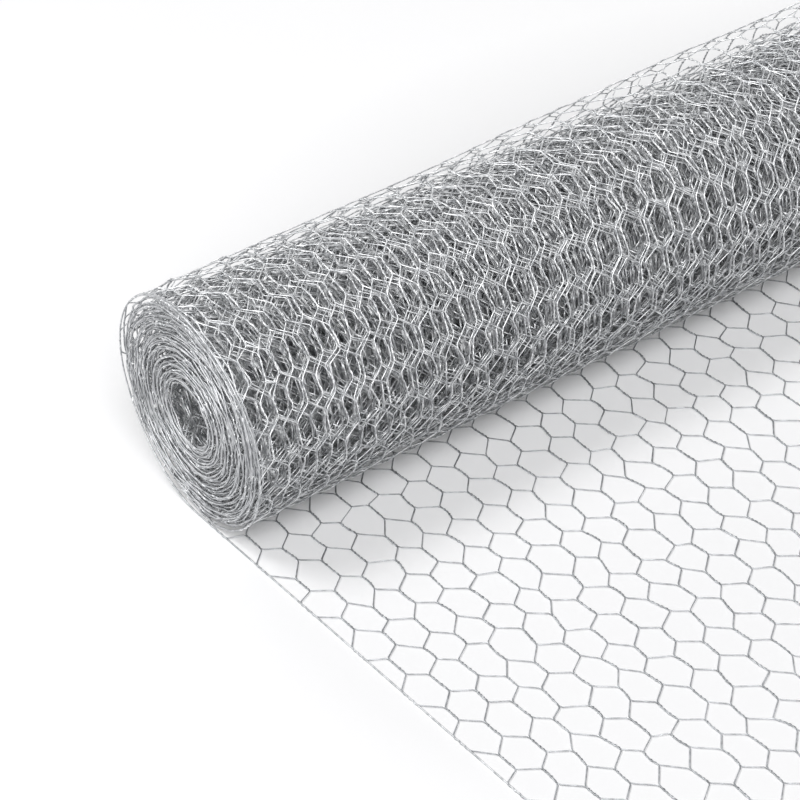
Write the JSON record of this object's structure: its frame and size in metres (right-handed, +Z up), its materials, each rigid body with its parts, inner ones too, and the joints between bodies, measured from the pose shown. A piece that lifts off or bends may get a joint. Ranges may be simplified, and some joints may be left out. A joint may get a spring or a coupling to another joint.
{
  "type": "chicken wire roll",
  "caption": "Roll of galvanised hexagonal wire netting lying on its side, with its free end unrolled flat on the floor.",
  "frame": {"origin": "centre of the footprint, on the floor that the tail and the roll lie on", "axes": "+X along the axis of the roll, from its near end to its far end; the unrolled tail lies towards -Y; +Z up"},
  "size_m": [0.9, 0.6252, 0.1882],
  "materials": {
    "galvanised_netting": "satin galvanised",
    "galvanised_edge_wire": "satin galvanised"
  },
  "bodies": {
    "root": {"netting_roll": "galvanised_netting", "netting_tail_1": "galvanised_netting", "netting_tail_2": "galvanised_netting", "netting_tail_3": "galvanised_netting", "netting_tail_4": "galvanised_netting", "edge_wire_near": "galvanised_edge_wire", "edge_wire_far": "galvanised_edge_wire"}
  },
  "joints": []
}
